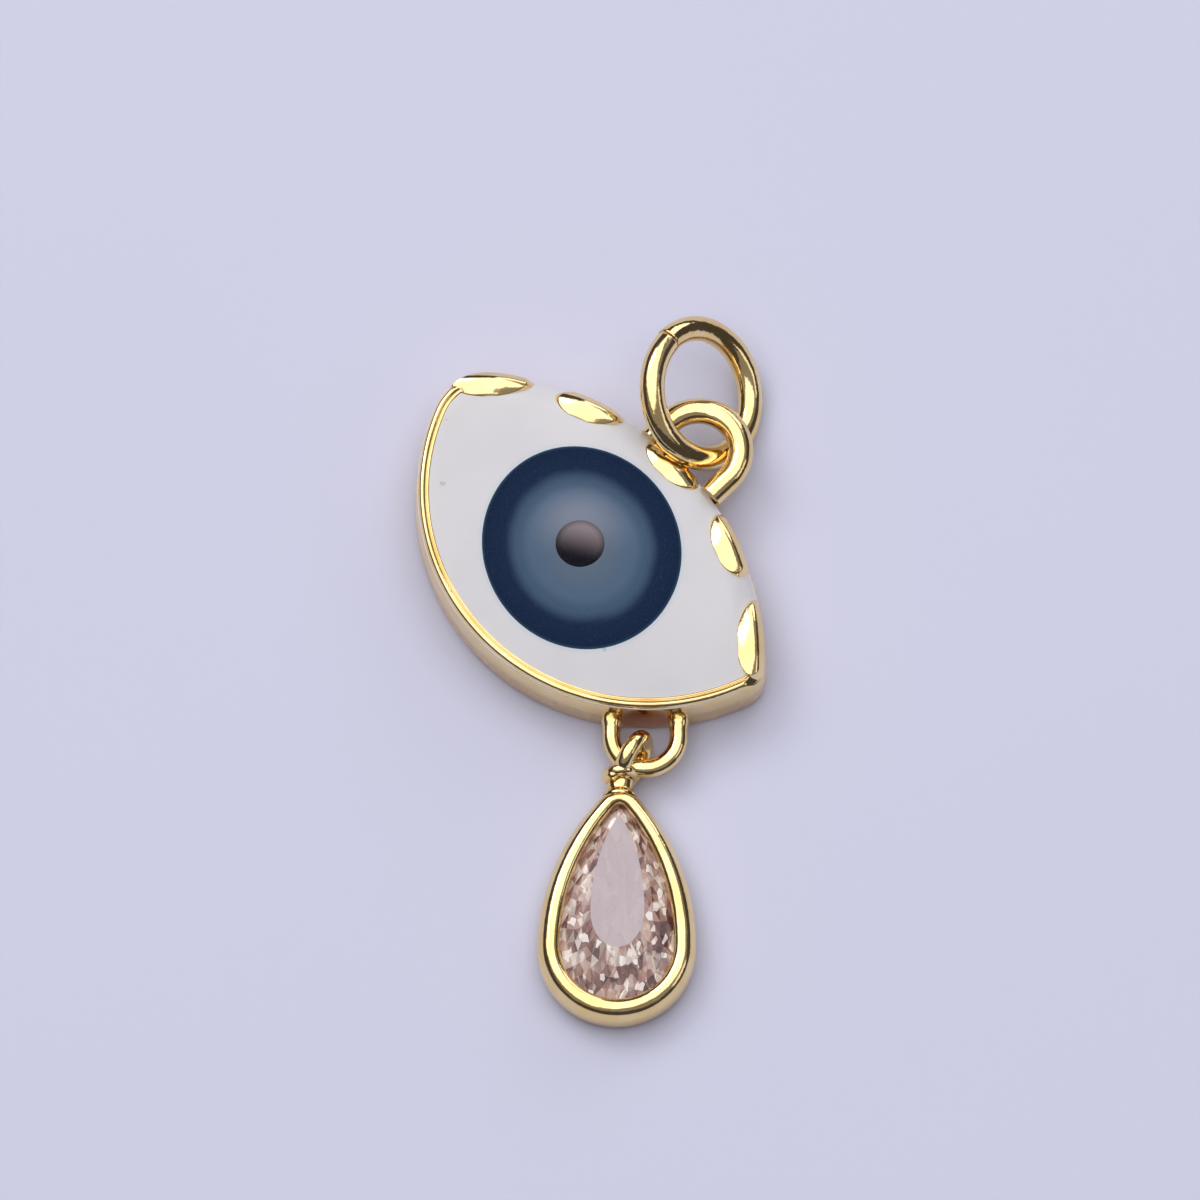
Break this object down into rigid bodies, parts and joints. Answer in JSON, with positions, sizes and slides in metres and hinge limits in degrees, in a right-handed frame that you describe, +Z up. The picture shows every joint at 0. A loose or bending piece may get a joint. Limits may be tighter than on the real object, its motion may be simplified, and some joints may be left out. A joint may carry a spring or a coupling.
{
  "type": "evil eye charm",
  "caption": "Gold evil eye charm: enamelled almond eye with raised lashes, a round-wire jump ring on a soldered bail, and a pear stone drop hanging from a small loop.",
  "frame": {"origin": "middle of the charm's footprint, on the table it lies on", "axes": "+Z up out of the eye's face, +Y towards the jump ring, +X to the viewer's right"},
  "size_m": [0.0118, 0.0242, 0.0038],
  "materials": {
    "tray_gold": "polished",
    "wire_gold": "polished",
    "white_enamel": "glossy enamel",
    "blue_enamel": "glossy enamel",
    "dark_enamel": "glossy enamel",
    "pink_stone": "faceted"
  },
  "bodies": {
    "eye": {"eye_tray": "tray_gold", "white_enamel": "white_enamel", "iris_enamel": "blue_enamel", "pupil_enamel": "dark_enamel", "bail_loop": "wire_gold", "hanger_loop": "wire_gold"},
    "jump_ring": {"jump_ring": "wire_gold"},
    "drop": {"drop_loop": "wire_gold", "drop_collar": "wire_gold", "drop_bezel": "tray_gold", "gem": "pink_stone"}
  },
  "joints": [
    {"name": "ring_roll", "type": "hinge", "parent": "eye", "child": "jump_ring", "pos_m": [0.00456, 0.00865, 0.00165], "axis": [0.651, 0.751, 0.11], "range_deg": [0, 65]},
    {"name": "drop_swing", "type": "hinge", "parent": "eye", "child": "drop", "pos_m": [0.00182, -0.00217, 0.00095], "axis": [0, 0, 1], "range_deg": [-45, 80]}
  ]
}
